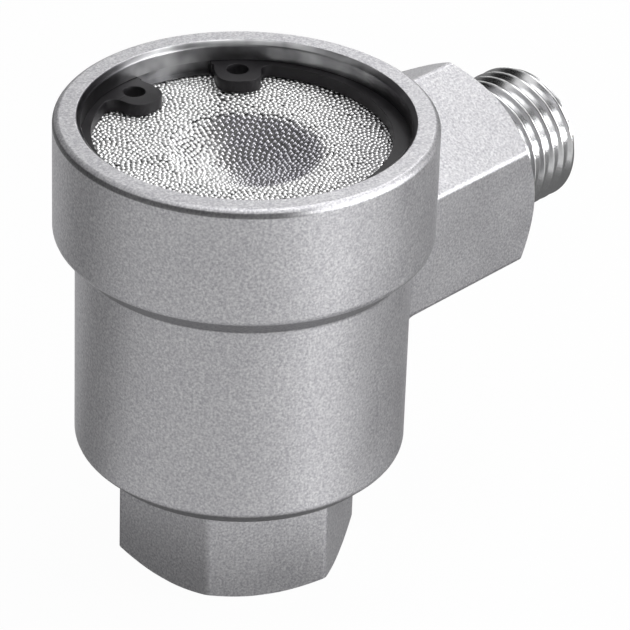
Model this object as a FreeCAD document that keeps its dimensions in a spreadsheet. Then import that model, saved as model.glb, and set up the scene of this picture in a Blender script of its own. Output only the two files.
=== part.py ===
import FreeCAD, Part
import math
import os
import Sketcher
from FreeCAD import Placement, Rotation, Vector

# Quick exhaust valve, millimetres, +Z up.
# The origin is the centre of the supply port's mouth, on the foot's lower face. The arm points along +X.

doc = FreeCAD.newDocument("quick_exhaust_valve")

# Driving sizes

SIZES = (
    # Pipe thread of both ports
    ("thread_dia", 13.157, "major diameter of the quarter-inch pipe thread"),
    ("thread_height", 0.856, "radial height of the thread, major to minor"),
    ("thread_lead_in", 0.4, "mouth of the supply thread"),
    ("supply_thread_depth", 10.0, "length of the supply thread from the foot's face"),
    ("outlet_thread_length", 10.4, "male thread, from the arm's shoulder to its end"),
    ("outlet_wall", 1.72, "wall between the male thread's minor diameter and its bore"),
    ("drill_tip_angle", 59.0, "half the point angle of the tapping drill"),
    # Foot and arm
    ("foot_wall", 3.17, "supply thread to the foot's flats"),
    ("foot_height", 10.5, "foot's face to the barrel's underside"),
    ("foot_corner_angle", 30.0, "slope of the turned end of the foot's corners"),
    ("arm_wall", 3.17, "male thread to the arm's flats"),
    ("arm_stand_out", 11.6, "collar to the arm's shoulder"),
    ("arm_corner_angle", 45.0, "slope of the turned end of the arm's corners"),
    ("hexagon_round", 0.6, "rounding of the hexagons' long edges"),
    ("arm_root_round", 1.2, "fillet where the arm grows out of the barrel"),
    # Supply passage and seat
    ("passage_step", 1.22, "minor diameter of the supply thread to the passage, on radius"),
    ("floor_web", 5.0, "end of the supply thread to the chamber's floor"),
    ("seat_rise", 1.0, "supply seat above the chamber's floor"),
    ("seat_width", 1.0, "supply seat, on radius"),
    ("seat_slope", 0.5, "how much wider the seat's foot is than its top, on radius"),
    # Cup seal
    ("seat_clearance", 0.05, "left between the cup and each seat at the ends of its travel"),
    ("cup_web", 2.4, "thickness of the cup's disc"),
    ("cup_height", 5.2, "height of the cup over its lip"),
    ("cup_lift", 2.3, "travel between the two seats"),
    ("cup_side_gap", 1.0, "cup's side to the chamber, on radius"),
    ("lip_clearance", 0.08, "lip to the chamber, on radius"),
    ("lip_band", 0.7, "height of the lip's cylindrical edge"),
    ("lip_thickness", 0.6, "thickness of the lip at its tip"),
    ("skirt_root", 1.9, "thickness of the skirt at its root"),
    ("cup_edge", 0.6, "chamfer round the cup's lower face"),
    # Exhaust seat
    ("exhaust_bore", 9.0, "bore of the exhaust tube"),
    ("tube_wall", 1.5, "wall of the exhaust tube"),
    ("tube_gap", 1.1, "exhaust tube to the inside of the cup's skirt, on radius"),
    ("tube_lip", 0.7, "width of the exhaust seat's face, on radius"),
    ("tube_lip_height", 1.2, "height of the taper behind the exhaust seat's face"),
    ("outlet_over_cup", 0.95, "lifted lip to the lowest point of the outlet bore"),
    ("ledge_over_outlet", 0.5, "highest point of the outlet bore to the flange's ledge"),
    ("flange_thickness", 3.6, "flange of the exhaust seat"),
    ("flange_ledge", 2.75, "width of the ledge under the flange, on radius"),
    ("flange_clearance", 0.1, "flange to its bore, on radius"),
    ("flange_proud", 0.05, "flange above the silencer's ledge, so that the disc clamps it"),
    ("bowl_depth", 1.5, "funnel in the top of the flange"),
    ("bowl_rim", 2.15, "flat rim left round the funnel"),
    ("gland_depth", 1.2, "room for the O-ring between groove and bore, on radius"),
    ("gland_width", 2.1, "groove for the O-ring"),
    ("o_ring_section", 1.5, "thickness of the O-ring before it is squeezed"),
    ("o_ring_bevel", 0.35, "bevel in place of the rounding of the squeezed O-ring"),
    # Silencer disc
    ("silencer_ledge", 1.75, "width of the ledge under the disc, on radius"),
    ("silencer_clearance", 0.05, "disc to its bore, on radius"),
    ("silencer_thickness", 4.3, "thickness of the disc at its rim"),
    ("dish_dia", 14.0, "width of the dish in the disc"),
    ("dish_depth", 1.4, "depth of the dish"),
    # Retaining ring and its groove
    ("ring_thickness", 1.2, "thickness of the ring"),
    ("ring_play", 0.05, "ring to the groove's faces and floor"),
    ("groove_depth", 0.7, "groove below the bore, on radius"),
    ("rim_over_groove", 1.85, "groove to the rim"),
    ("ring_width", 1.9, "width of the ring, mean of both ends"),
    ("ring_taper", 0.75, "how much wider it is opposite the gap, and narrower at the lugs"),
    ("ring_gap_angle", 14.5, "half the gap between the lugs"),
    ("ring_turn", 71.6, "direction of the gap"),
    ("lug_height", 4.8, "height of the lugs, on radius"),
    ("lug_half_width", 2.1, "plier hole to the lug's sides"),
    ("lug_hole", 2.0, "plier hole"),
    ("lug_round", 1.5, "rounding of the lugs' inner corners"),
    ("lug_neck_round", 1.0, "fillet between lug and ring"),
    # Walls and edges of the casting
    ("barrel_wall", 2.25, "wall of the barrel outside the flange's bore"),
    ("barrel_edge", 1.5, "chamfer round the barrel's underside"),
    ("collar_wall", 2.5, "wall of the collar"),
    ("collar_height", 11.0, "straight height of the collar"),
    ("rim_chamfer", 0.4, "chamfers of the rim's two edges"),
)

sheet = doc.addObject("Spreadsheet::Sheet", "Sizes")
for row, (alias, size, meaning) in enumerate(SIZES, start=1):
    sheet.set("A%d" % row, meaning)
    sheet.set("B%d" % row, str(size))
    sheet.setAlias("B%d" % row, alias)
doc.recompute()

# Sizes and heights that follow from them

THREAD_R = "Sizes.thread_dia / 2"
CORE_R = "(Sizes.thread_dia / 2 - Sizes.thread_height)"
PASSAGE_R = "(" + CORE_R + " - Sizes.passage_step)"
OUTLET_R = "(" + CORE_R + " - Sizes.outlet_wall)"
FOOT_FLAT_R = "(Sizes.thread_dia / 2 + Sizes.foot_wall)"
FOOT_CORNER_R = "(" + FOOT_FLAT_R + " / cos(30))"
ARM_FLAT_R = "(Sizes.thread_dia / 2 + Sizes.arm_wall)"
ARM_CORNER_R = "(" + ARM_FLAT_R + " / cos(30))"

TUBE_R = "(Sizes.exhaust_bore / 2 + Sizes.tube_wall)"
SKIRT_R = "(" + TUBE_R + " + Sizes.tube_gap)"
CUP_R = "(" + SKIRT_R + " + Sizes.skirt_root)"
CHAMBER_R = "(" + CUP_R + " + Sizes.cup_side_gap)"
LIP_R = "(" + CHAMBER_R + " - Sizes.lip_clearance)"
FLANGE_BORE_R = "(" + CHAMBER_R + " + Sizes.flange_ledge)"
FLANGE_R = "(" + FLANGE_BORE_R + " - Sizes.flange_clearance)"
GLAND_R = "(" + FLANGE_BORE_R + " - Sizes.gland_depth)"
SILENCER_BORE_R = "(" + FLANGE_BORE_R + " + Sizes.silencer_ledge)"
SILENCER_R = "(" + SILENCER_BORE_R + " - Sizes.silencer_clearance)"
GROOVE_R = "(" + SILENCER_BORE_R + " + Sizes.groove_depth)"
RING_R = "(" + GROOVE_R + " - Sizes.ring_play)"
BARREL_R = "(" + FLANGE_BORE_R + " + Sizes.barrel_wall)"
COLLAR_R = "(" + SILENCER_BORE_R + " + Sizes.collar_wall)"
SHOULDER_X = "(" + COLLAR_R + " + Sizes.arm_stand_out)"

FLOOR_Z = "(Sizes.supply_thread_depth + Sizes.floor_web)"
SEAT_Z = "(" + FLOOR_Z + " + Sizes.seat_rise)"
CUP_Z = "(" + SEAT_Z + " + Sizes.seat_clearance)"
EXHAUST_LIP_Z = "(" + CUP_Z + " + Sizes.cup_web + Sizes.cup_lift + Sizes.seat_clearance)"
LIFTED_LIP_Z = "(" + CUP_Z + " + Sizes.cup_height + Sizes.cup_lift)"
ARM_Z = "(" + LIFTED_LIP_Z + " + Sizes.outlet_over_cup + " + OUTLET_R + ")"
LEDGE_Z = "(" + ARM_Z + " + " + OUTLET_R + " + Sizes.ledge_over_outlet)"
DISC_Z = "(" + LEDGE_Z + " + Sizes.flange_thickness)"
RING_Z = "(" + DISC_Z + " + Sizes.silencer_thickness)"
GROOVE_Z = "(" + RING_Z + " - Sizes.ring_play)"
GROOVE_TOP_Z = "(" + RING_Z + " + Sizes.ring_thickness + Sizes.ring_play)"
RIM_Z = "(" + GROOVE_TOP_Z + " + Sizes.rim_over_groove)"
COLLAR_Z = "(" + RIM_Z + " - Sizes.collar_height)"
CONE_Z = "(" + COLLAR_Z + " - (" + COLLAR_R + " - " + BARREL_R + "))"


def value(expression):
    """The number that an expression on the sheet stands for."""
    result = sheet.evalExpression(expression)
    return float(getattr(result, "Value", result))


# Helpers

def new_body(label):
    """An empty body, named after the piece that it becomes."""
    body = doc.addObject("PartDesign::Body", label)
    body.Label = label
    body.Placement = Placement()
    return body


def put_on_plane(feature, body, plane, turn=0.0, **offsets):
    """Attach a feature to one of its body's own planes, moved by expressions for x, y and z there."""
    for candidate in body.Origin.OriginFeatures:
        if candidate.Role == plane:
            feature.AttachmentSupport = [(candidate, "")]
    feature.MapMode = "FlatFace"
    feature.AttachmentOffset = Placement(Vector(), Rotation(Vector(0, 0, 1), turn))
    for direction, expression in offsets.items():
        feature.setExpression("AttachmentOffset.Base." + direction, expression)


def bind(sketch, kind, elements, expression):
    """Add a dimension to a sketch and tie it to the sheet."""
    index = sketch.addConstraint(Sketcher.Constraint(kind, *elements, value(expression)))
    sketch.setExpression("Constraints[%d]" % index, expression)


def pin_point(sketch, geometry, end, across, up):
    """Fix one point of a sketch: '0' puts it on an axis, anything else is a distance from the origin."""
    if across == "0":
        sketch.addConstraint(Sketcher.Constraint("PointOnObject", geometry, end, -2))
    else:
        bind(sketch, "DistanceX", (-1, 1, geometry, end), across)
    if up == "0":
        sketch.addConstraint(Sketcher.Constraint("PointOnObject", geometry, end, -1))
    else:
        bind(sketch, "DistanceY", (-1, 1, geometry, end), up)


def draw(body, name, plane, corners, **offsets):
    """A closed outline of straight sides. Each corner is (across, up), two expressions on the sheet."""
    sketch = body.newObject("Sketcher::SketchObject", name)
    put_on_plane(sketch, body, plane, **offsets)
    points = [Vector(value(across), value(up), 0) for across, up in corners]
    for start, end in zip(points, points[1:] + points[:1]):
        sketch.addGeometry(Part.LineSegment(start, end), False)
    for index, (across, up) in enumerate(corners):
        follower = (index + 1) % len(corners)
        sketch.addConstraint(Sketcher.Constraint("Coincident", index, 2, follower, 1))
        pin_point(sketch, index, 1, across, up)
    return sketch


def turn_profile(body, kind, sketch, axis="V_Axis"):
    """Revolve or groove a sketch a full turn round one of its own axes."""
    feature = body.newObject("PartDesign::" + kind, sketch.Name + "Turned")
    feature.Profile = sketch
    feature.ReferenceAxis = (sketch, [axis])
    feature.Angle = 360.0
    return feature


def round_edges(body, kind, name, size, wanted):
    """Fillet or chamfer the edges of the body's last feature that a test picks out."""
    doc.recompute()
    base = body.Tip
    names = []
    for number, edge in enumerate(base.Shape.Edges, start=1):
        if wanted(edge):
            names.append("Edge%d" % number)
    feature = body.newObject("PartDesign::" + kind, name)
    feature.Base = (base, names)
    feature.setExpression("Radius" if kind == "Fillet" else "Size", size)
    return feature


def is_circle(edge, radius, height):
    """True for a level circle or arc round the upright axis."""
    if not isinstance(edge.Curve, Part.Circle):
        return False
    centre = edge.Curve.Center
    if abs(centre.x) > 0.001 or abs(centre.y) > 0.001:
        return False
    return abs(edge.Curve.Radius - value(radius)) < 0.001 and abs(centre.z - value(height)) < 0.001


def runs_along(edge, direction):
    """True for a straight edge in that direction."""
    if not isinstance(edge.Curve, Part.Line):
        return False
    return abs(edge.Curve.Direction.dot(direction)) > 0.999


# Casting: stepped barrel, hexagon foot and hexagon arm

def make_outside(body):
    """Barrel and collar, foot, arm and the stub for the male thread."""
    barrel = draw(body, "Barrel", "YZ_Plane", (
        ("0", "Sizes.foot_height"),
        (BARREL_R + " - Sizes.barrel_edge", "Sizes.foot_height"),
        (BARREL_R, "Sizes.foot_height + Sizes.barrel_edge"),
        (BARREL_R, CONE_Z),
        (COLLAR_R, COLLAR_Z),
        (COLLAR_R, RIM_Z),
        ("0", RIM_Z),
    ))
    turn_profile(body, "Revolution", barrel)

    foot = body.newObject("PartDesign::AdditivePrism", "Foot")
    foot.Polygon = 6
    put_on_plane(foot, body, "XY_Plane", turn=30.0)
    foot.setExpression("Circumradius", FOOT_CORNER_R)
    foot.setExpression("Height", "Sizes.foot_height")

    arm = body.newObject("PartDesign::AdditivePrism", "Arm")
    arm.Polygon = 6
    put_on_plane(arm, body, "YZ_Plane", turn=30.0, y=ARM_Z)
    arm.setExpression("Circumradius", ARM_CORNER_R)
    arm.setExpression("Height", SHOULDER_X)


def is_hexagon_edge(edge):
    """The foot's upright edges and the arm's level ones."""
    middle = edge.CenterOfMass
    if runs_along(edge, Vector(0, 0, 1)):
        return middle.z < value("Sizes.foot_height")
    if runs_along(edge, Vector(1, 0, 0)):
        return middle.x > value(BARREL_R)
    return False


def is_arm_root(edge):
    """The curves where the arm's lower faces and rounded edges meet the barrel."""
    if isinstance(edge.Curve, (Part.Line, Part.Circle)):
        return False
    if edge.BoundBox.ZMax > value(CONE_Z):
        return False
    return all(abs(Vector(end.X, end.Y, 0).Length - value(BARREL_R)) < 0.01 for end in edge.Vertexes)


def is_rim_edge(edge):
    """The outer and the inner edge of the collar's rim."""
    return is_circle(edge, COLLAR_R, RIM_Z) or is_circle(edge, SILENCER_BORE_R, RIM_Z)


def make_turned_ends(body):
    """What is turned on the blank: the hexagons' ends and the stub for the male thread."""
    foot_reach = "(" + FOOT_CORNER_R + " + 1)"
    foot_end = draw(body, "FootEnd", "XZ_Plane", (
        (FOOT_FLAT_R, "0"),
        (foot_reach, "0"),
        (foot_reach, "(" + foot_reach + " - " + FOOT_FLAT_R + ") * tan(Sizes.foot_corner_angle)"),
    ))
    turn_profile(body, "Groove", foot_end)

    arm_reach = "(" + ARM_CORNER_R + " + 1)"
    arm_slope = "((" + arm_reach + " - " + ARM_FLAT_R + ") * tan(Sizes.arm_corner_angle))"
    arm_end = draw(body, "ArmEnd", "XZ_Plane", (
        (SHOULDER_X, ARM_FLAT_R),
        (SHOULDER_X, arm_reach),
        (SHOULDER_X + " - " + arm_slope, arm_reach),
    ), y=ARM_Z)
    turn_profile(body, "Groove", arm_end, "H_Axis")

    stub_end = SHOULDER_X + " + Sizes.outlet_thread_length"
    stub = draw(body, "Stub", "XZ_Plane", (
        (COLLAR_R, "0"),
        (stub_end, "0"),
        (stub_end, CORE_R),
        (stub_end + " - Sizes.thread_height", THREAD_R),
        (COLLAR_R, THREAD_R),
    ), y=ARM_Z)
    turn_profile(body, "Revolution", stub, "H_Axis")


def make_bores(body):
    """Supply port, seat, chamber, bores for exhaust seat and silencer, groove and outlet bore."""
    mouth_r = CORE_R + " + Sizes.thread_lead_in"
    cone_end_z = "Sizes.supply_thread_depth + Sizes.passage_step / tan(Sizes.drill_tip_angle)"
    seat_r = PASSAGE_R + " + Sizes.seat_width"
    supply = draw(body, "Supply", "XZ_Plane", (
        ("0", "0"),
        (mouth_r, "0"),
        (CORE_R, "Sizes.thread_lead_in"),
        (CORE_R, "Sizes.supply_thread_depth"),
        (PASSAGE_R, cone_end_z),
        (PASSAGE_R, SEAT_Z),
        (seat_r, SEAT_Z),
        (seat_r + " + Sizes.seat_slope", FLOOR_Z),
        (CHAMBER_R, FLOOR_Z),
        (CHAMBER_R, LEDGE_Z),
        ("0", LEDGE_Z),
    ))
    turn_profile(body, "Groove", supply)

    disc_ledge_z = DISC_Z + " - Sizes.flange_proud"
    top = draw(body, "TopBores", "XZ_Plane", (
        ("0", LEDGE_Z),
        (FLANGE_BORE_R, LEDGE_Z),
        (FLANGE_BORE_R, disc_ledge_z),
        (SILENCER_BORE_R, disc_ledge_z),
        (SILENCER_BORE_R, GROOVE_Z),
        (GROOVE_R, GROOVE_Z),
        (GROOVE_R, GROOVE_TOP_Z),
        (SILENCER_BORE_R, GROOVE_TOP_Z),
        (SILENCER_BORE_R, RIM_Z),
        ("0", RIM_Z),
    ))
    turn_profile(body, "Groove", top)

    outlet = body.newObject("PartDesign::SubtractiveCylinder", "Outlet")
    put_on_plane(outlet, body, "YZ_Plane", y=ARM_Z)
    outlet.setExpression("Radius", OUTLET_R)
    outlet.setExpression("Height", SHOULDER_X + " + Sizes.outlet_thread_length")


def make_valve_body():
    body = new_body("valve_body")
    make_outside(body)
    round_edges(body, "Fillet", "HexagonRounds", "Sizes.hexagon_round", is_hexagon_edge)
    round_edges(body, "Fillet", "ArmRoot", "Sizes.arm_root_round", is_arm_root)
    make_turned_ends(body)
    make_bores(body)
    round_edges(body, "Chamfer", "RimChamfers", "Sizes.rim_chamfer", is_rim_edge)
    return body


# Cup seal: disc with a skirt that thins to a lip, open side up

def make_cup_seal():
    body = new_body("cup_seal")
    top = "Sizes.cup_height"
    profile = draw(body, "Cup", "XZ_Plane", (
        ("0", "0"),
        (CUP_R + " - Sizes.cup_edge", "0"),
        (CUP_R, "Sizes.cup_edge"),
        (CUP_R, "Sizes.cup_web"),
        (LIP_R, top + " - Sizes.lip_band"),
        (LIP_R, top),
        (LIP_R + " - Sizes.lip_thickness", top),
        (SKIRT_R, "Sizes.cup_web"),
        ("0", "Sizes.cup_web"),
    ))
    turn_profile(body, "Revolution", profile)
    body.setExpression("Placement.Base.z", CUP_Z)
    return body


# Exhaust seat: tube with a tapered lip below and a grooved flange on top

def make_exhaust_seat():
    body = new_body("exhaust_seat")
    lip_r = "(Sizes.exhaust_bore / 2 + Sizes.tube_lip)"
    bore_r = "Sizes.exhaust_bore / 2"
    bowl_r = FLANGE_R + " - Sizes.bowl_rim"
    gland_middle_z = LEDGE_Z + " + Sizes.flange_thickness / 2"
    profile = draw(body, "TubeAndFlange", "XZ_Plane", (
        (bore_r, EXHAUST_LIP_Z),
        (lip_r, EXHAUST_LIP_Z),
        (TUBE_R, EXHAUST_LIP_Z + " + Sizes.tube_lip_height"),
        (TUBE_R, LEDGE_Z),
        (FLANGE_R, LEDGE_Z),
        (FLANGE_R, gland_middle_z + " - Sizes.gland_width / 2"),
        (GLAND_R, gland_middle_z + " - Sizes.gland_width / 2"),
        (GLAND_R, gland_middle_z + " + Sizes.gland_width / 2"),
        (FLANGE_R, gland_middle_z + " + Sizes.gland_width / 2"),
        (FLANGE_R, DISC_Z),
        (bowl_r, DISC_Z),
        (bore_r, DISC_Z + " - Sizes.bowl_depth"),
    ))
    turn_profile(body, "Revolution", profile)
    return body


# O-ring, drawn squeezed between groove and bore

def make_seat_o_ring():
    body = new_body("seat_o_ring")
    # The squeezed section has the area of the round one. Bevels stand for its rounding.
    area = "(pi / 4 * Sizes.o_ring_section ^ 2)"
    end = "((" + area + " + 2 * Sizes.o_ring_bevel ^ 2) / Sizes.gland_depth / 2)"
    side = "(" + end + " - Sizes.o_ring_bevel)"
    inner = GLAND_R + " + Sizes.o_ring_bevel"
    outer = FLANGE_BORE_R + " - Sizes.o_ring_bevel"
    profile = draw(body, "SqueezedSection", "XZ_Plane", (
        (inner, "-" + end),
        (outer, "-" + end),
        (FLANGE_BORE_R, "-" + side),
        (FLANGE_BORE_R, side),
        (outer, end),
        (inner, end),
        (GLAND_R, side),
        (GLAND_R, "-" + side),
    ), y=LEDGE_Z + " + Sizes.flange_thickness / 2")
    turn_profile(body, "Revolution", profile)
    return body


# Silencer: disc of sintered beads with a dish in its upper face

def make_silencer_disc():
    body = new_body("silencer_disc")
    top = "Sizes.silencer_thickness"
    # Two cones follow a parabola's points: half way in, the dish has three quarters of its depth.
    profile = draw(body, "Disc", "XZ_Plane", (
        ("0", "0"),
        (SILENCER_R, "0"),
        (SILENCER_R, top),
        ("Sizes.dish_dia / 2", top),
        ("Sizes.dish_dia / 4", top + " - Sizes.dish_depth * 3 / 4"),
        ("0", top + " - Sizes.dish_depth"),
    ))
    turn_profile(body, "Revolution", profile)
    body.setExpression("Placement.Base.z", DISC_Z)
    return body


# Retaining ring: tapered ring with two lugs. Its gap points along the body's own +X.

def make_retaining_ring():
    body = new_body("retaining_ring")
    hole_r = "(" + RING_R + " - Sizes.lug_height / 2)"
    lug_angle = "(Sizes.ring_gap_angle * 1 deg + asin(Sizes.lug_half_width / " + hole_r + "))"

    ring = body.newObject("Sketcher::SketchObject", "RingOutline")
    put_on_plane(ring, body, "XY_Plane")
    for radius in (RING_R, RING_R + " - Sizes.ring_width"):
        index = ring.addGeometry(Part.Circle(Vector(), Vector(0, 0, 1), value(radius)), False)
        bind(ring, "Radius", (index,), radius)
        ring.addConstraint(Sketcher.Constraint("PointOnObject", index, 3, -1))
    ring.addConstraint(Sketcher.Constraint("PointOnObject", 0, 3, -2))
    bind(ring, "DistanceX", (-1, 1, 1, 3), "Sizes.ring_taper")
    add_pad(body, ring, "Sizes.ring_thickness")

    for side, sign in (("Left", 1), ("Right", -1)):
        lug = draw(body, side + "Lug", "XY_Plane", lug_corners())
        lug.setExpression("AttachmentOffset.Rotation.Angle", lug_angle)
        lug.AttachmentOffset = Placement(Vector(), Rotation(Vector(0, 0, sign), value(lug_angle)))
        add_pad(body, lug, "Sizes.ring_thickness")

    reach = "(" + RING_R + " + 1)"
    gap = draw(body, "Gap", "XY_Plane", (
        ("0", "0"),
        (reach, "-" + reach + " * tan(Sizes.ring_gap_angle)"),
        (reach, reach + " * tan(Sizes.ring_gap_angle)"),
    ))
    add_pocket(body, gap)

    holes = body.newObject("Sketcher::SketchObject", "PlierHoles")
    put_on_plane(holes, body, "XY_Plane")
    for sign in ("", "-"):
        across = hole_r + " * cos(" + lug_angle + ")"
        up = sign + hole_r + " * sin(" + lug_angle + ")"
        centre = Vector(value(across), value(up), 0)
        index = holes.addGeometry(Part.Circle(centre, Vector(0, 0, 1), value("Sizes.lug_hole / 2")), False)
        bind(holes, "Radius", (index,), "Sizes.lug_hole / 2")
        pin_point(holes, index, 3, across, up)
    add_pocket(body, holes)

    round_edges(body, "Fillet", "LugCorners", "Sizes.lug_round", is_lug_corner)
    round_edges(body, "Fillet", "LugNecks", "Sizes.lug_neck_round",
                lambda edge: is_lug_neck(edge, value(lug_angle)))

    body.Placement = Placement(Vector(), Rotation(Vector(0, 0, 1), 0))
    body.setExpression("Placement.Base.z", RING_Z)
    body.setExpression("Placement.Rotation.Angle", "Sizes.ring_turn")
    return body


def lug_corners():
    """A lug before its corners are rounded, pointing along the sketch's first axis."""
    inner = RING_R + " - Sizes.lug_height"
    outer = RING_R + " - Sizes.ring_width / 2"
    return (
        (inner, "-Sizes.lug_half_width"),
        (outer, "-Sizes.lug_half_width"),
        (outer, "Sizes.lug_half_width"),
        (inner, "Sizes.lug_half_width"),
    )


def is_lug_corner(edge):
    """The upright corners at the lugs' inner ends. The gap may have cut the ones beside it."""
    corner_r = math.hypot(value(RING_R + " - Sizes.lug_height"), value("Sizes.lug_half_width"))
    middle = edge.CenterOfMass
    return runs_along(edge, Vector(0, 0, 1)) and math.hypot(middle.x, middle.y) < corner_r + 0.01


def is_lug_neck(edge, lug_angle):
    """The upright inside corners between the ring and the lugs' sides away from the gap."""
    if not runs_along(edge, Vector(0, 0, 1)):
        return False
    middle = edge.CenterOfMass
    from_ring_centre = math.hypot(middle.x - value("Sizes.ring_taper"), middle.y)
    inner_r = value(RING_R + " - Sizes.ring_width")
    bearing = math.degrees(math.atan2(abs(middle.y), middle.x))
    return abs(from_ring_centre - inner_r) < 0.01 and bearing > lug_angle


def add_pad(body, sketch, length):
    pad = body.newObject("PartDesign::Pad", sketch.Name + "Pad")
    pad.Profile = sketch
    pad.setExpression("Length", length)
    return pad


def add_pocket(body, sketch):
    """Cut a sketch right through, upward from its plane."""
    pocket = body.newObject("PartDesign::Pocket", sketch.Name + "Pocket")
    pocket.Profile = sketch
    pocket.Type = "ThroughAll"
    pocket.Reversed = True
    return pocket


pieces = [
    make_valve_body(),
    make_cup_seal(),
    make_exhaust_seat(),
    make_seat_o_ring(),
    make_silencer_disc(),
    make_retaining_ring(),
]
doc.recompute()

# Checks and files

for item in doc.Objects:
    if "Invalid" in item.State or "Error" in item.State:
        raise RuntimeError("%s is in state %s" % (item.Label, item.State))

for piece in pieces:
    if piece.Shape.isNull() or not piece.Shape.isValid():
        raise RuntimeError(piece.Label + " has no valid shape")

os.makedirs("parts", exist_ok=True)
for piece in pieces:
    piece.Shape.exportStep("parts/%s.step" % piece.Label)
    box = piece.Shape.BoundBox
    print("%-16s %9.1f mm3  x %6.2f %6.2f  y %6.2f %6.2f  z %6.2f %6.2f" % (
        piece.Label, piece.Shape.Volume, box.XMin, box.XMax, box.YMin, box.YMax, box.ZMin, box.ZMax))
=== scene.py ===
import math

import bmesh
import bpy
import numpy as np
from mathutils import Matrix, Vector
from mathutils.kdtree import KDTree


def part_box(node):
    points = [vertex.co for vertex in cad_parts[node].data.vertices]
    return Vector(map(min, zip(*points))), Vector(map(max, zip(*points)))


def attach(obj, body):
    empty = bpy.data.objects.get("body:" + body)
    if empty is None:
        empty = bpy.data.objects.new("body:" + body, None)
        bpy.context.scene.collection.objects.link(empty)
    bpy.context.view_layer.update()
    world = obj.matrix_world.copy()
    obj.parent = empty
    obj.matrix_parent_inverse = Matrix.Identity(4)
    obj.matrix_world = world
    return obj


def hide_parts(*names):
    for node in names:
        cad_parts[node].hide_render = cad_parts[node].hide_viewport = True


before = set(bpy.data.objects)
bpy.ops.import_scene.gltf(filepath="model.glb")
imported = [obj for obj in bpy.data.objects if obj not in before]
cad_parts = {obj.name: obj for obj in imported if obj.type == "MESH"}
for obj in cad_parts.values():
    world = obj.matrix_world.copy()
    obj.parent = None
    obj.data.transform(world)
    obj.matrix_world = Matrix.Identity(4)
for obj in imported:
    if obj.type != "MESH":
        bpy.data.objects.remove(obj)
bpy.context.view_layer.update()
bpy.ops.object.select_all(action="DESELECT")

# Quick exhaust valve. Sizes are in millimetres where nothing else is said, with +Z up and the arm along +X.

MM = 0.001
# Points nearer than this are merged, and faces nearer than NEAR to a level lie on it.
MERGED = 0.0005
NEAR = 0.02

# Arm and threads. Both ports have the quarter-inch pipe thread.
THREAD_R = 13.157 / 2
THREAD_HEIGHT = 0.856
THREAD_PITCH = 1.337
THREAD_ROUNDING = 0.137329 * THREAD_PITCH
FLANK_ANGLE = 27.5
CORE_R = THREAD_R - THREAD_HEIGHT
ARM_Z = 28.5
SHOULDER_X = 28.6
THREAD_END_X = 39.0
FACING_DEPTH = 20.0
OUTLET_R = 4.0
OUTLET_START_X = 5.0
TAPPED_DEPTH = 9.4
SUPPLY_SEAT_Z = 16.0
LEAD_IN = 0.4

# Barrel, collar and foot, from the top down.
RIM_Z = 44.005
RIM_CHAMFER = 0.4
COLLAR_R = 17.0
BORE_R = 14.5
LEDGE_Z = 33.0
COLLAR_Z = 33.005
CONE_Z = 31.005
BARREL_R = 15.0
BARREL_EDGE = 1.5
UNDERSIDE_Z = 10.5
FOOT_R = 11.2

# Sintered disc. In its dish the beads are larger and lie looser, and outside it they are pressed flat.
DISC_R = 14.45
DISC_Z = 36.605
DISC_TOP_Z = 40.905
DISH_R = 7.0
DISH_DEPTH = 1.4
BEAD_R = 0.235
BEAD_PITCH = 0.46
BEAD_AREA = 0.866 * BEAD_PITCH ** 2
BEAD_UNEVEN = 0.1
BEAD_SUNK = 1.2 * BEAD_R
PRESSED = 0.55
LOOSER = 1.22
# To settle, each bead is pushed off the beads within its room, by a share of what it lacks, in some rounds.
BEAD_ROOM = 1.25
PUSH_SHARE = 0.28
PUSH_ROUNDS = 16

O_RING_WIDTH = 1.2


# Modelling as by hand: operators on the active piece, mostly in edit mode.

def activate(piece):
    """Make a piece the only selected object."""
    bpy.ops.object.select_all(action="DESELECT")
    piece.select_set(True)
    bpy.context.view_layer.objects.active = piece


def open_edit(piece, pick="VERT", chosen="DESELECT"):
    """Open a piece in edit mode, with nothing in it selected, or with everything."""
    activate(piece)
    bpy.ops.object.mode_set(mode="EDIT")
    bpy.ops.mesh.select_mode(type=pick)
    bpy.ops.mesh.select_all(action=chosen)


def close_edit():
    bpy.ops.object.mode_set(mode="OBJECT")


def pick_faces(piece, wanted):
    """Select the faces whose corners (mm) and normal pass a test. The piece is in edit mode."""
    mesh = bmesh.from_edit_mesh(piece.data)
    for face in mesh.faces:
        face.select_set(wanted([vertex.co / MM for vertex in face.verts], face.normal))
    bmesh.update_edit_mesh(piece.data)


def pick_edges(piece, wanted):
    """Select the edges whose two ends (mm) pass a test. The piece is in edit mode."""
    mesh = bmesh.from_edit_mesh(piece.data)
    for edge in mesh.edges:
        if wanted(edge.verts[0].co / MM, edge.verts[1].co / MM):
            edge.select_set(True)
    bmesh.update_edit_mesh(piece.data)


def apply_modifier(piece, kind, **settings):
    """Add a modifier, set it up and apply it."""
    activate(piece)
    modifier = piece.modifiers.new(kind.title(), kind)
    for name, setting in settings.items():
        setattr(modifier, name, setting)
    bpy.ops.object.modifier_apply(modifier=modifier.name)


def round_edges(piece, width, angle, segments=2):
    """Bevel the edges that are sharper than an angle in degrees."""
    apply_modifier(
        piece, "BEVEL", width=width * MM, segments=segments, limit_method="ANGLE",
        angle_limit=math.radians(angle), use_clamp_overlap=False,
    )


def even_normals(piece, angle=28):
    """Smooth shading that keeps edges sharper than an angle in degrees, with flat faces left flat."""
    activate(piece)
    bpy.ops.object.shade_smooth_by_angle(angle=math.radians(angle))
    apply_modifier(piece, "WEIGHTED_NORMAL", keep_sharp=True, weight=80)


def place_in_mesh(piece):
    """Move a piece's place, turn and scale into its mesh."""
    activate(piece)
    bpy.ops.object.transform_apply(location=True, rotation=True, scale=True)


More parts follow.
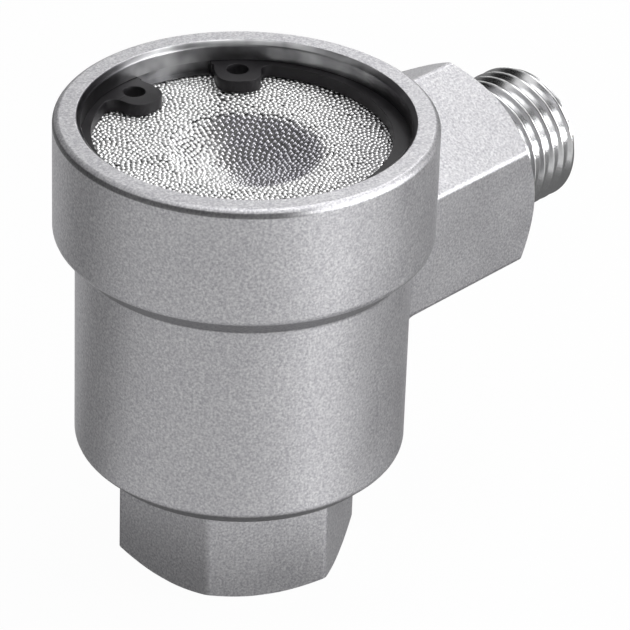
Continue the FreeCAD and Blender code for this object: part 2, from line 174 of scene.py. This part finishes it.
def lay_along_arm(piece):
    """Turn a piece that was made upright at the origin to lie along the arm's axis."""
    piece.data.transform(Matrix.Translation((0, 0, ARM_Z * MM)) @ Matrix.Rotation(math.pi / 2, 4, "Y"))


def cad_copy(node, name):
    """A copy of a CAD node's mesh, its loose triangles merged into whole faces."""
    piece = bpy.data.objects.new(name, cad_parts[node].data.copy())
    piece.data.name = name
    bpy.context.scene.collection.objects.link(piece)
    piece.data.materials.clear()
    activate(piece)
    bpy.ops.mesh.customdata_custom_splitnormals_clear()
    open_edit(piece, chosen="SELECT")
    bpy.ops.mesh.remove_doubles(threshold=MERGED * MM)
    bpy.ops.mesh.dissolve_limited(angle_limit=math.radians(0.2), use_dissolve_boundaries=False)
    close_edit()
    return piece


def trace(name, points):
    """A chain of edges through points (radius, height) in the XZ plane, extruded one by one."""
    bpy.ops.mesh.primitive_plane_add(size=MM, location=(points[0][0] * MM, 0, points[0][1] * MM))
    piece = bpy.context.active_object
    piece.name = piece.data.name = name
    place_in_mesh(piece)
    open_edit(piece, chosen="SELECT")
    bpy.ops.mesh.merge(type="CENTER")
    for before, after in zip(points, points[1:]):
        step = ((after[0] - before[0]) * MM, 0, (after[1] - before[1]) * MM)
        bpy.ops.mesh.extrude_vertices_move(TRANSFORM_OT_translate={"value": step})
    close_edit()
    return piece


def settle_order(piece):
    """Put a piece's faces, and the corners in each, in an order that is the same on each run."""
    mesh = piece.data
    points = [tuple(vertex.co) for vertex in mesh.vertices]
    faces = []
    for polygon in mesh.polygons:
        corners = list(polygon.vertices)
        first = corners.index(min(corners))
        faces.append(corners[first:] + corners[:first])
    mesh.clear_geometry()
    mesh.from_pydata(points, [], sorted(faces))


def turned(name, points):
    """A closed outline of (radius, height) spun a full turn round the upright axis."""
    piece = trace(name, list(points) + [points[0]])
    open_edit(piece, chosen="SELECT")
    bpy.ops.mesh.spin(steps=96, angle=math.tau, center=(0, 0, 0), axis=(0, 0, 1))
    bpy.ops.mesh.select_all(action="SELECT")
    bpy.ops.mesh.remove_doubles(threshold=MERGED * MM)
    bpy.ops.mesh.normals_make_consistent(inside=False)
    close_edit()
    settle_order(piece)
    return piece


def boolean(piece, tool, operation):
    """Cut a piece with a tool, or keep what both share, and throw the tool away."""
    apply_modifier(piece, "BOOLEAN", object=tool, operation=operation, solver="EXACT")
    bpy.data.objects.remove(tool)


# Threads

def thread_outline():
    """One pitch of the rounded 55-degree pipe thread, from root to root: (radius over the root, along)."""
    slope = math.radians(FLANK_ANGLE)
    arc = [slope + (math.pi / 2 - slope) * step / 3 for step in range(4)]
    # The root's arc, from its lowest point up to the flank. The crest's arc is the same one, turned over.
    root = [
        (THREAD_ROUNDING * (1 - math.sin(angle)), THREAD_ROUNDING * math.cos(angle))
        for angle in reversed(arc)
    ]
    rising = root + [(THREAD_HEIGHT - rise, THREAD_PITCH / 2 - along) for rise, along in reversed(root)]
    falling = [(rise, THREAD_PITCH - along) for rise, along in reversed(rising)]
    return rising[:-1] + falling


def threaded_bar(name, low, high):
    """A solid screw round the upright axis from one height to another."""
    start = low - 2 * THREAD_PITCH
    turns = math.ceil((high - start) / THREAD_PITCH) + 2
    bar = trace(name, [(CORE_R + rise, start + along) for rise, along in thread_outline()])
    apply_modifier(
        bar, "SCREW", axis="Z", angle=math.tau, screw_offset=THREAD_PITCH * MM, iterations=turns,
        steps=72, render_steps=72, use_merge_vertices=True, merge_threshold=MERGED * MM,
    )
    open_edit(bar, chosen="SELECT")
    bpy.ops.mesh.remove_doubles(threshold=2 * MERGED * MM)
    for height, cut_above in ((low, False), (high, True)):
        bpy.ops.mesh.select_all(action="SELECT")
        bpy.ops.mesh.bisect(
            plane_co=(0, 0, height * MM), plane_no=(0, 0, 1),
            clear_outer=cut_above, clear_inner=not cut_above,
        )
    bpy.ops.mesh.select_all(action="SELECT")
    bpy.ops.mesh.fill_holes(sides=0)
    bpy.ops.mesh.select_all(action="SELECT")
    bpy.ops.mesh.normals_make_consistent(inside=False)
    close_edit()
    return bar


# Shader maths

class Value:
    """What a node gives, mostly a number that changes over a surface. Sums and products of values add their
    own Math nodes."""

    def __init__(self, nodes, socket):
        self.nodes = nodes
        self.socket = socket

    def maths(self, operation, first, second=None, clamp=False):
        sockets = {0: first} if second is None else {0: first, 1: second}
        return self.nodes.node("ShaderNodeMath", {"operation": operation, "use_clamp": clamp}, sockets)

    def __add__(self, other):
        return self.maths("ADD", self, other)

    __radd__ = __add__

    def __sub__(self, other):
        return self.maths("SUBTRACT", self, other)

    def __rsub__(self, other):
        return self.maths("SUBTRACT", other, self)

    def __mul__(self, other):
        return self.maths("MULTIPLY", self, other)

    __rmul__ = __mul__

    def __pow__(self, other):
        return self.maths("POWER", self, other)

    def __abs__(self):
        return self.maths("ABSOLUTE", self)

    def rises(self, low, high):
        """0 below one number, 1 above another, and a soft change between them."""
        return self.nodes.node(
            "ShaderNodeMapRange", {"interpolation_type": "SMOOTHSTEP"}, {0: self, 1: low, 2: high},
        )

    def clamped(self):
        return self.maths("ADD", self, 0.0, clamp=True)


class Nodes:
    """The nodes of a material or of the world."""

    def __init__(self, owner):
        owner.use_nodes = True
        self.tree = owner.node_tree

    def node(self, kind, settings=None, sockets=None, output=0):
        """Add a node: its settings first, then the values or links of its sockets."""
        made = self.tree.nodes.new(kind)
        for name, setting in (settings or {}).items():
            setattr(made, name, setting)
        for name, given in (sockets or {}).items():
            self.plug(made.inputs[name], given)
        return Value(self, made.outputs[output])

    def plug(self, socket, given):
        """Link a value to a socket, or set the socket to a number, a vector or a colour."""
        if isinstance(given, Value):
            self.tree.links.new(given.socket, socket)
        elif socket.type == "RGBA":
            socket.default_value = (*given, 1)
        else:
            socket.default_value = given

    def end_in(self, kind, surface):
        """Add the output node and link a shader to its surface."""
        output = self.tree.nodes.new(kind)
        self.plug(output.inputs["Surface"], surface)


class Finish(Nodes):
    """A material for one of the valve's surfaces, built round its Principled shader."""

    def __init__(self, name):
        self.material = bpy.data.materials.new(name)
        super().__init__(self.material)
        self.skin = self.tree.nodes["Principled BSDF"]

    def set(self, **sockets):
        """Set or link sockets of the shader, named with _ for spaces."""
        for name, given in sockets.items():
            self.plug(self.skin.inputs[name.replace("_", " ")], given)

    def place(self, scale=(1.0, 1.0, 1.0)):
        """Object coordinates in millimetres, each times its own scale."""
        where = self.node("ShaderNodeTexCoord", output="Object")
        return self.node("ShaderNodeMapping", {}, {"Vector": where, "Scale": [s / MM for s in scale]})

    def axes(self, count):
        """The place in millimetres along X and Y, or along X, Y and Z, as two or three values."""
        where = self.place()
        return [self.node("ShaderNodeSeparateXYZ", {}, {0: where}, output=axis) for axis in range(count)]

    def noise(self, per_mm, detail=2.0, roughness=0.5, scale=(1.0, 1.0, 1.0)):
        return self.node(
            "ShaderNodeTexNoise", {"noise_dimensions": "3D"},
            {"Vector": self.place(scale), "Scale": per_mm, "Detail": detail, "Roughness": roughness},
        )

    def blend(self, low, high, share):
        """A colour between two others."""
        return self.node(
            "ShaderNodeMix", {"data_type": "RGBA"}, {0: share, 6: low, 7: high}, output=2,
        )

    def bump(self, height, depth_mm, strength=0.5):
        """Relief of a height from 0 to 1, that deep in millimetres."""
        relief = self.node(
            "ShaderNodeBump", {}, {"Strength": strength, "Distance": depth_mm * MM, "Height": height},
        )
        self.set(Normal=relief)


def from_axis(x, y):
    """Distance from the upright axis, as a value."""
    return (x * x + y * y) ** 0.5


def to_one_side(x, y):
    """Distance from the upright axis towards one side, as a value, for painted shade that differs between
    two sides.
    """
    return 0.67 * x - 0.74 * y


def blasted_zinc():
    """Bead-blasted die casting: pale grey metal, finely pitted, with faint cloudy patches. Painted shade
    darkens it under the collar, round the top of the foot and along a part of the rim's outer edge."""
    finish = Finish("blasted_zinc")
    grain = finish.noise(4.6, roughness=0.6)
    clouds = finish.noise(0.22)
    x, y, z = finish.axes(3)
    radius = from_axis(x, y)

    # Painted shade: the cone under the collar, the underside round the top of the foot and one side of the
    # rim's outer edge are darkened in the base colour.
    on_cone = z.rises(CONE_Z - 0.1, CONE_Z + 0.1) * (1 - z.rises(COLLAR_Z - 0.4, COLLAR_Z - 0.1))
    on_cone = on_cone * (1 - radius.rises(COLLAR_R - 0.4, COLLAR_R - 0.1))
    on_underside = 1 - z.rises(UNDERSIDE_Z + 1.3, UNDERSIDE_Z + 1.6)
    on_underside = on_underside * radius.rises(FOOT_R + 0.2, FOOT_R + 0.6)
    on_rim_edge = z.rises(RIM_Z - 0.8, RIM_Z - 0.65) * radius.rises(COLLAR_R - 0.2, COLLAR_R - 0.1)
    on_rim_edge = on_rim_edge * (1 - to_one_side(x, y).rises(3.0, 7.0))
    shade = (1 - 0.5 * (on_cone + on_underside).clamped()) * (1 - 0.66 * on_rim_edge)

    tone = (grain - 0.5) * 2.4 + (clouds - 0.5) * 0.2 + 0.5
    skin = finish.blend((0.422, 0.416, 0.447), (0.742, 0.739, 0.748), tone.clamped())
    finish.set(
        Base_Color=finish.blend((0.0, 0.0, 0.0), skin, shade),
        Metallic=1.0, Roughness=0.46 + 0.08 * clouds,
    )
    finish.bump(grain, 0.025, 0.8)
    return finish.material


def machined_zinc():
    """Turned and threaded surfaces: brighter than the skin, with fine tool marks."""
    finish = Finish("machined_zinc")
    marks = finish.noise(1.0, scale=(6.0, 0.5, 6.0))
    finish.set(
        Base_Color=finish.blend((0.66, 0.66, 0.67), (0.82, 0.82, 0.825), marks.clamped()),
        Metallic=1.0, Roughness=0.14 + 0.1 * marks,
    )
    finish.bump(marks, 0.006)
    return finish.material


def bored_zinc():
    """The turned bore above the disc: duller than the thread, with tool marks round it. Painted shade
    darkens it on two sides."""
    finish = Finish("bored_zinc")
    marks = finish.noise(1.0, scale=(0.3, 0.3, 7.0))
    smears = finish.noise(0.35)
    smeared = ((smears - 0.5) * 1.8 + 0.45).clamped()
    x, y = finish.axes(2)
    # Painted shade on two sides of the bore, by distance towards one side.
    painted_side_shade = 0.8 * abs(to_one_side(x, y)).rises(8.5, 13.5)
    metal = finish.blend((0.13, 0.13, 0.135), (0.57, 0.57, 0.58), smeared)
    finish.set(
        Base_Color=finish.blend(metal, (0.07, 0.066, 0.075), painted_side_shade),
        Metallic=1.0, Roughness=0.26 + 0.12 * marks,
    )
    finish.bump(marks, 0.01)
    return finish.material


def sintered_bead():
    """Nickel-plated beads, each a little different in tone. They are bright round the dish and on one side
    in it. The rest of the dish is darker and a little glossier with painted shade, and one side of the disc
    has a little painted shade."""
    finish = Finish("sintered_bead")
    tone = finish.noise(2.6, detail=1.0)
    mottled = ((tone - 0.5) * 1.6 + 0.5).clamped()
    x, y = finish.axes(2)
    in_dish = 1 - from_axis(x, y).rises(DISH_R - 1.0, DISH_R + 0.4)
    # Painted shade: one side of the dish, and a little of one side of the disc, take a darker shaded copy
    # of the bead colour.
    painted_dish_shade = in_dish * (0.87 * x - 0.56 * y).rises(-3.4, 0.2)
    painted_dish_shade = (painted_dish_shade + 0.3 * to_one_side(x, y).rises(4.0, 13.0)).clamped()
    shaded_bead_colour = finish.blend((0.28, 0.275, 0.305), (0.5, 0.495, 0.52), mottled)
    bright = finish.blend((0.66, 0.66, 0.66), (0.97, 0.97, 0.97), mottled)
    finish.set(
        Base_Color=finish.blend(bright, shaded_bead_colour, painted_dish_shade),
        Metallic=1.0, Roughness=0.24 + 0.12 * tone - 0.1 * painted_dish_shade,
    )
    return finish.material


def bead_gaps():
    """The inside of the sintered disc, seen between its beads, painted near black as the shade in the gaps.
    """
    finish = Finish("bead_gaps")
    tone = finish.noise(2.5)
    finish.set(
        Base_Color=finish.blend((0.05, 0.05, 0.05), (0.16, 0.16, 0.16), tone.clamped()),
        Metallic=0.8, Roughness=0.4 + 0.2 * tone,
    )
    finish.bump(tone, 0.1, 0.7)
    return finish.material


def phosphated_steel():
    """Spring steel, black and slightly oily."""
    finish = Finish("phosphated_steel")
    grain = finish.noise(9.0, detail=3.0)
    smears = finish.noise(0.5)
    finish.set(
        Base_Color=finish.blend((0.012, 0.011, 0.013), (0.035, 0.033, 0.036), smears.clamped()),
        Metallic=0.3, Roughness=0.3 + 0.2 * smears, Specular_IOR_Level=0.35,
    )
    finish.bump(grain, 0.008)
    return finish.material


def cup_rubber():
    """Smooth dark blue rubber with a faint haze."""
    finish = Finish("cup_rubber")
    grain = finish.noise(5.0)
    haze = finish.noise(0.4)
    finish.set(
        Base_Color=finish.blend((0.075, 0.125, 0.235), (0.115, 0.175, 0.30), haze.clamped()),
        Roughness=0.38 + 0.12 * haze,
    )
    finish.bump(grain, 0.01)
    return finish.material


def turned_acetal():
    """Off-white plastic with the marks of turning."""
    finish = Finish("turned_acetal")
    marks = finish.noise(1.0, scale=(0.5, 0.5, 9.0))
    haze = finish.noise(0.3)
    finish.set(
        Base_Color=finish.blend((0.70, 0.70, 0.66), (0.78, 0.78, 0.75), haze.clamped()),
        Roughness=0.4 + 0.12 * marks,
    )
    finish.bump(marks, 0.012)
    return finish.material


def ring_nitrile():
    """Matt black rubber."""
    finish = Finish("ring_nitrile")
    grain = finish.noise(6.0, detail=3.0)
    finish.set(
        Base_Color=finish.blend((0.018, 0.018, 0.018), (0.04, 0.04, 0.042), grain.clamped()),
        Roughness=0.5 + 0.15 * grain,
    )
    finish.bump(grain, 0.012, 0.6)
    return finish.material


# Casting

def on_circle(point, radius, height, slack=0.03):
    """True for a point on a level circle round the upright axis."""
    return abs(math.hypot(point.x, point.y) - radius) < slack and abs(point.z - height) < slack


def soften_circle(piece, radius, height, width):
    """Bevel one round edge of the casting."""
    open_edit(piece, "EDGE")
    pick_edges(piece, lambda a, b: on_circle(a, radius, height) and on_circle(b, radius, height))
    bpy.ops.mesh.bevel(offset=width * MM, segments=3, affect="EDGES", clamp_overlap=False)
    close_edit()


def face_height(corners):
    return sum(corner.z for corner in corners) / len(corners)


def face_reach(corners):
    """Distance of a face's farthest corner from the upright axis."""
    return max(math.hypot(corner.x, corner.y) for corner in corners)


def is_machined(corners, normal):
    """True for the casting's faces that a tool has cut: foot face, ports and all that lies inside."""
    height = face_height(corners)
    reach = face_reach(corners)
    from_arm_axis = max(math.hypot(corner.y, corner.z - ARM_Z) for corner in corners)
    on_foot_face = height < NEAR and normal.z < -0.9
    in_supply_port = reach < THREAD_R + LEAD_IN and height < SUPPLY_SEAT_Z + 0.5
    in_outlet = from_arm_axis < OUTLET_R + 0.05 and corners[0].x > OUTLET_START_X
    in_chamber = reach < BARREL_R - 1 and UNDERSIDE_Z + 0.5 < height < RIM_Z - 2
    return on_foot_face or in_supply_port or in_outlet or in_chamber


def in_top_bore(corners, normal):
    """True for the faces of the bore that holds disc and ring, from its ledge's lead-in to its chamfer."""
    return face_reach(corners) < BORE_R + 0.9 and LEDGE_Z - LEAD_IN < face_height(corners) < RIM_Z - NEAR


def make_casting(cut_zinc):
    """The body without its male thread: the stub is cut off at the shoulder and the supply port tapped."""
    casting = cad_copy("valve_body", "casting")
    bpy.ops.mesh.primitive_cylinder_add(
        vertices=64, radius=(THREAD_R + 1) * MM, depth=FACING_DEPTH * MM,
        location=(0, 0, (SHOULDER_X + FACING_DEPTH / 2 + NEAR) * MM),
    )
    facing_tool = bpy.context.active_object
    place_in_mesh(facing_tool)
    lay_along_arm(facing_tool)
    boolean(casting, facing_tool, "DIFFERENCE")

    tap = threaded_bar("tap", -THREAD_PITCH, TAPPED_DEPTH)
    boolean(casting, tap, "DIFFERENCE")

    for radius, height, width in (
        # From the rim down the outside, then down the bore.
        (COLLAR_R, RIM_Z - RIM_CHAMFER, 0.22),
        (COLLAR_R - RIM_CHAMFER, RIM_Z, 0.22),
        (COLLAR_R, COLLAR_Z, 0.35),
        (BARREL_R, CONE_Z, 0.3),
        (BARREL_R, UNDERSIDE_Z + BARREL_EDGE, 0.35),
        (BARREL_R - BARREL_EDGE, UNDERSIDE_Z, 0.3),
        (BORE_R + RIM_CHAMFER, RIM_Z, 0.12),
        (BORE_R, RIM_Z - RIM_CHAMFER, 0.12),
    ):
        soften_circle(casting, radius, height, width)

    for metal in (blasted_zinc(), cut_zinc, bored_zinc()):
        casting.data.materials.append(metal)
    for number, is_cut in ((1, is_machined), (2, in_top_bore)):
        open_edit(casting, "FACE")
        pick_faces(casting, is_cut)
        casting.active_material_index = number
        bpy.ops.object.material_slot_assign()
        close_edit()
    even_normals(casting)
    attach(casting, "housing")
    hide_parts("valve_body")


def make_outlet_thread(cut_zinc):
    """The male thread: a screw that is turned to its end chamfer and drilled."""
    thread = threaded_bar("outlet_thread", SHOULDER_X - 0.3, THREAD_END_X + 0.5)
    blank = turned("blank", (
        (OUTLET_R, SHOULDER_X),
        (THREAD_R + 0.5, SHOULDER_X),
        (THREAD_R + 0.5, THREAD_END_X - THREAD_HEIGHT - 0.5),
        (CORE_R, THREAD_END_X),
        (OUTLET_R + 0.3, THREAD_END_X),
        (OUTLET_R, THREAD_END_X - 0.3),
    ))
    boolean(thread, blank, "INTERSECT")
    lay_along_arm(thread)
    thread.data.materials.clear()
    thread.data.materials.append(cut_zinc)
    even_normals(thread, 40)
    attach(thread, "housing")
    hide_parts("valve_body")


# Silencer

def make_silencer_base():
    """The sintered disc without its top layer of beads."""
    base = cad_copy("silencer_disc", "silencer_base")
    open_edit(base)
    mesh = bmesh.from_edit_mesh(base.data)
    for vertex in mesh.verts:
        if vertex.co.z / MM > (DISC_Z + DISC_TOP_Z) / 2:
            vertex.co.z -= BEAD_SUNK * MM
    bmesh.update_edit_mesh(base.data)
    close_edit()
    base.data.materials.append(bead_gaps())
    even_normals(base)
    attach(base, "housing")
    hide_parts("silencer_disc")


def dish_depth(distance):
    """How far the disc's face lies under its rim, at a distance from the middle."""
    if distance >= DISH_R:
        return 0.0
    return DISH_DEPTH * (1 - (distance / DISH_R) ** 2)


def bead_places():
    """Middles of the beads: a random scatter that is pushed apart, as beads settle when shaken. They lie
    looser in the dish."""
    rng = np.random.default_rng(7)
    reach = DISC_R - BEAD_R
    wanted = int(math.pi * reach ** 2 / BEAD_AREA)
    angle = rng.random(wanted) * math.tau
    distance = reach * np.sqrt(rng.random(wanted))
    kept = (distance > DISH_R) | (rng.random(wanted) < LOOSER ** -2)
    places = np.stack((distance * np.cos(angle), distance * np.sin(angle)), axis=1)[kept]
    for push_round in range(PUSH_ROUNDS):
        in_dish = np.hypot(places[:, 0], places[:, 1]) < DISH_R - 0.4
        rooms = BEAD_PITCH * BEAD_ROOM * np.where(in_dish, LOOSER, 1)
        tree = KDTree(len(places))
        for index, place in enumerate(places):
            tree.insert((place[0], place[1], 0), index)
        tree.balance()
        push = np.zeros_like(places)
        for index, place in enumerate(places):
            for point, other, gap in tree.find_range((place[0], place[1], 0), rooms[index]):
                if other != index and gap > 1e-6:
                    share = (rooms[index] - gap) / gap * PUSH_SHARE
                    push[index, 0] += (place[0] - point[0]) * share
                    push[index, 1] += (place[1] - point[1]) * share
        places += push
        away = np.hypot(places[:, 0], places[:, 1])
        outside = away > reach
        places[outside] *= (reach / away[outside])[:, None]
    return places


def bead_shape():
    """Corners (m) and faces of one bead, open underneath, where it is sunk in the disc."""
    bpy.ops.mesh.primitive_ico_sphere_add(subdivisions=2, radius=BEAD_R * MM, location=(0, 0, 0))
    bead = bpy.context.active_object
    open_edit(bead, "FACE")
    pick_faces(bead, lambda corners, normal: normal.z < -0.25)
    bpy.ops.mesh.delete(type="FACE")
    close_edit()
    corners = np.array([vertex.co[:] for vertex in bead.data.vertices])
    faces = [tuple(polygon.vertices) for polygon in bead.data.polygons]
    bpy.data.objects.remove(bead)
    return corners, faces


def make_beads():
    """The top layer of beads, in four pieces from one side of the disc to the other."""
    corners, faces = bead_shape()
    pressed_shape = corners * np.where(corners[:, 2:] > 0, (1, 1, PRESSED), 1)
    loose_shape = corners * LOOSER
    metal = sintered_bead()
    places = bead_places()
    rng = np.random.default_rng(11)
    order = np.argsort(places[:, 0])
    for number, part in enumerate(np.array_split(order, 4), start=1):
        points = []
        sides = []
        for index in part:
            x, y = places[index]
            distance = math.hypot(x, y)
            if distance > DISH_R:
                shape = pressed_shape
                crown = BEAD_R * PRESSED
            else:
                shape = loose_shape
                crown = BEAD_R * LOOSER
            height = DISC_TOP_Z - crown - 0.01 - dish_depth(distance) - BEAD_UNEVEN * rng.random()
            sides += [tuple(corner + len(points) for corner in face) for face in faces]
            points += [tuple(point) for point in shape + np.array((x, y, height)) * MM]
        mesh = bpy.data.meshes.new("beads_%d" % number)
        mesh.from_pydata(points, [], sides)
        piece = bpy.data.objects.new("beads_%d" % number, mesh)
        bpy.context.scene.collection.objects.link(piece)
        mesh.materials.append(metal)
        activate(piece)
        bpy.ops.object.shade_smooth()
        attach(piece, "housing")
        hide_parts("silencer_disc")


# Other pieces

def make_retaining_ring():
    ring = cad_copy("retaining_ring", "black_ring")
    ring.data.materials.append(phosphated_steel())
    round_edges(ring, 0.07, 50)
    even_normals(ring)
    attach(ring, "housing")
    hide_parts("retaining_ring")


def make_cup():
    cup = cad_copy("cup_seal", "cup")
    cup.data.materials.append(cup_rubber())
    round_edges(cup, 0.12, 25, segments=3)
    even_normals(cup)
    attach(cup, "cup")
    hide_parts("cup_seal")


def make_exhaust_tube():
    tube = cad_copy("exhaust_seat", "exhaust_tube")
    tube.data.materials.append(turned_acetal())
    round_edges(tube, 0.1, 30)
    even_normals(tube)
    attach(tube, "housing")
    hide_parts("exhaust_seat")


def make_o_ring():
    """A round section squeezed flat against the groove and the bore."""
    low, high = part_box("seat_o_ring")
    outer = high.x / MM
    inner = outer - O_RING_WIDTH
    middle = (low.z + high.z) / 2 / MM
    half_height = (high.z - low.z) / 2 / MM
    section = []
    for step in range(24):
        angle = math.tau * step / 24
        across = math.copysign(abs(math.cos(angle)) ** 0.75, math.cos(angle))
        up = math.copysign(abs(math.sin(angle)) ** 0.9, math.sin(angle))
        section.append(((outer + inner) / 2 + across * (outer - inner) / 2, middle + up * half_height))
    o_ring = turned("o_ring", section)
    o_ring.data.materials.append(ring_nitrile())
    activate(o_ring)
    bpy.ops.object.shade_smooth()
    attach(o_ring, "housing")
    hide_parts("seat_o_ring")


# Studio: the valve stands on a pale floor among soft lamps, with grey cards that only metal shows.

VALVE_MIDDLE = Vector((0, 0, 22))

CAMERA_AZIMUTH = -137.891
CAMERA_ELEVATION = 30.669
CAMERA_ROLL = 2.056
CAMERA_DISTANCE = 369.3
AIM_RIGHT = 6.613
AIM_UP = 1.61
# The lens is worked out from a focal length in pixels and the image's width in pixels.
FOCAL_PIXELS = 4104.3
IMAGE_PIXELS = 630
SENSOR_WIDTH = 36

FLOOR_WHITE = 0.97
WORLD_LEVEL = 0.3
LAMP_DISTANCE = 450
LAMPS = (
    # name, azimuth, elevation, width and height (m), power (W)
    ("key", -50, 11, 0.17, 0.19, 0.42),
    ("upper_key", -60, 29, 0.2, 0.23, 0.6),
    ("low_front", -83, 5, 0.16, 0.09, 0.75),
    ("right_overhead", -32, 56, 0.16, 0.19, 0.15),
    ("back_overhead", 17, 56, 0.16, 0.19, 0.42),
    ("top", 0, 88, 0.2, 0.2, 0.2),
    ("back_upper", 30, 34, 0.16, 0.16, 0.1),
    ("back_lower", 40, 10, 0.16, 0.16, 0.17),
)

# Outlines of the cards (radius, height): rings on the floor, walls round the valve and the roof over them.
BY_THE_FOOT = ((3, 0.04), (20, 0.04))
ON_THE_FLOOR = ((20, 0.06), (450, 0.06))
WALL_FOOT = ((500, 0), (500, 88))
LOW_WALL = ((500, 0), (500, 233))
WALL = ((500, 0), (500, 500))
UPPER_WALL = ((500, 88), (500, 500))
HIGH_WALL = ((500, 233), (500, 500))
ROOF = ((500, 500), (250, 620))
CARD_STEP = 10
CARDS = (
    # name, outline, from and to in degrees round from +X, tone
    ("near_floor", BY_THE_FOOT, 0, 360, 0.21),
    ("front_floor", ON_THE_FLOOR, -103, -78, 0.85),
    ("front_right_floor", ON_THE_FLOOR, -78, -53, 0.28),
    ("right_floor", ON_THE_FLOOR, -53, 67, 0.17),
    ("back_floor", ON_THE_FLOOR, 67, 107, 0.67),
    ("back_left_floor", ON_THE_FLOOR, 107, 147, 0.23),
    ("left_floor", ON_THE_FLOOR, 147, 257, 0.63),
    ("front_wall", LOW_WALL, -108, -48, 0.01),
    ("upper_front_wall", HIGH_WALL, -78, -36, 2.0),
    ("right_wall_foot", LOW_WALL, -48, 42, 0.01),
    ("right_wall", HIGH_WALL, -36, 42, 0.01),
    ("back_wall", WALL, 42, 117, 0.25),
    ("back_left_wall", WALL, 117, 147, 0.01),
    ("slit_foot", WALL_FOOT, 147, 162, 0.01),
    ("slit", UPPER_WALL, 147, 167, 1.0),
    ("left_wall_foot", WALL_FOOT, 162, 222, 0.5),
    ("left_wall", UPPER_WALL, 167, 222, 0.08),
    ("front_left_wall", WALL, 222, 252, 0.3),
    ("front_right_roof", ROOF, -78, -60, 0.01),
    ("side_roof", ROOF, -60, -28, 1.5),
    ("right_roof", ROOF, -28, 42, 0.01),
    ("back_roof", ROOF, 42, 132, 0.4),
    ("front_roof", ROOF, 222, 282, 0.25),
)


def direction(azimuth, elevation):
    """A unit vector away from the valve, in degrees round from +X and up from level."""
    a, e = math.radians(azimuth), math.radians(elevation)
    return Vector((math.cos(e) * math.cos(a), math.cos(e) * math.sin(a), math.sin(e)))


def make_camera():
    toward = direction(CAMERA_AZIMUTH, CAMERA_ELEVATION)
    level = direction(CAMERA_AZIMUTH + 90, 0)
    upright = toward.cross(level)
    roll = math.radians(CAMERA_ROLL)
    right = math.cos(roll) * level + math.sin(roll) * upright
    up = -math.sin(roll) * level + math.cos(roll) * upright
    target = VALVE_MIDDLE + AIM_RIGHT * right + AIM_UP * up
    data = bpy.data.cameras.new("camera")
    data.sensor_width = SENSOR_WIDTH
    data.lens = FOCAL_PIXELS / IMAGE_PIXELS * SENSOR_WIDTH
    data.clip_start, data.clip_end = 0.01, 10
    camera = bpy.data.objects.new("camera", data)
    bpy.context.scene.collection.objects.link(camera)
    turn = Matrix((right, up, toward)).transposed().to_4x4()
    camera.matrix_world = Matrix.Translation((target + toward * CAMERA_DISTANCE) * MM) @ turn
    bpy.context.scene.camera = camera


def white_for_camera(nodes, lit, white, share=1.0):
    """Camera, glossy and transmission rays see that share of white. Other rays see the lit surface."""
    camera, glossy, transmission = [
        nodes.node("ShaderNodeLightPath", output=ray)
        for ray in ("Is Camera Ray", "Is Glossy Ray", "Is Transmission Ray")
    ]
    seen = (camera + glossy + transmission).clamped() * share
    return nodes.node("ShaderNodeMixShader", {}, {0: seen, 1: lit, 2: white})


def give_stage_material(piece, name):
    """Give the floor or a card a material of its own, with no nodes yet."""
    material = bpy.data.materials.new(name)
    nodes = Nodes(material)
    nodes.tree.nodes.clear()
    piece.data.materials.append(material)
    return nodes


def make_floor():
    bpy.ops.mesh.primitive_plane_add(size=3, location=(0, 0, 0))
    floor = bpy.context.active_object
    floor.name = "floor"
    nodes = give_stage_material(floor, "pale_floor")
    paint = nodes.node("ShaderNodeBsdfDiffuse", {}, {"Color": (0.8, 0.8, 0.8)})
    white = nodes.node("ShaderNodeEmission", {}, {"Color": (1, 1, 1)})
    nodes.end_in("ShaderNodeOutputMaterial", white_for_camera(nodes, paint, white, FLOOR_WHITE))


def make_world():
    world = bpy.data.worlds.new("studio")
    bpy.context.scene.world = world
    nodes = Nodes(world)
    nodes.tree.nodes.clear()
    grey = nodes.node("ShaderNodeBackground", {}, {"Color": (1, 1, 1), "Strength": WORLD_LEVEL})
    white = nodes.node("ShaderNodeBackground", {}, {"Color": (1, 1, 1)})
    nodes.end_in("ShaderNodeOutputWorld", white_for_camera(nodes, grey, white))


def add_lamp(name, azimuth, elevation, width, height, power):
    """A soft lamp that looks at the valve's middle."""
    data = bpy.data.lights.new(name, "AREA")
    data.shape = "RECTANGLE"
    data.size = width
    data.size_y = height
    data.energy = power
    lamp = bpy.data.objects.new(name, data)
    bpy.context.scene.collection.objects.link(lamp)
    away = direction(azimuth, elevation)
    lamp.location = (VALVE_MIDDLE + away * LAMP_DISTANCE) * MM
    lamp.rotation_mode = "QUATERNION"
    lamp.rotation_quaternion = away.to_track_quat("Z", "Y")
    lamp.visible_camera = False


def add_card(name, outline, start, end, tone):
    """A grey card that only shows as a reflection: an outline spun round the valve."""
    card = trace(name, outline)
    open_edit(card, chosen="SELECT")
    bpy.ops.mesh.spin(
        steps=round((end - start) / CARD_STEP), angle=math.radians(end - start),
        center=(0, 0, 0), axis=(0, 0, -1),
    )
    close_edit()
    card.data.transform(Matrix.Rotation(math.radians(start), 4, "Z"))
    nodes = give_stage_material(card, name)
    glow = nodes.node("ShaderNodeEmission", {}, {"Color": (tone, tone, tone)})
    nodes.end_in("ShaderNodeOutputMaterial", glow)
    card.visible_camera = card.visible_diffuse = card.visible_transmission = False
    card.visible_shadow = card.visible_volume_scatter = False


make_camera()
make_floor()
make_world()
for lamp in LAMPS:
    add_lamp(*lamp)
for card in CARDS:
    add_card(*card)

turned_metal = machined_zinc()
make_casting(turned_metal)
make_outlet_thread(turned_metal)
make_silencer_base()
make_beads()
make_retaining_ring()
make_exhaust_tube()
make_o_ring()
make_cup()

bpy.context.scene.view_settings.view_transform = "Standard"
bpy.ops.object.select_all(action="DESELECT")
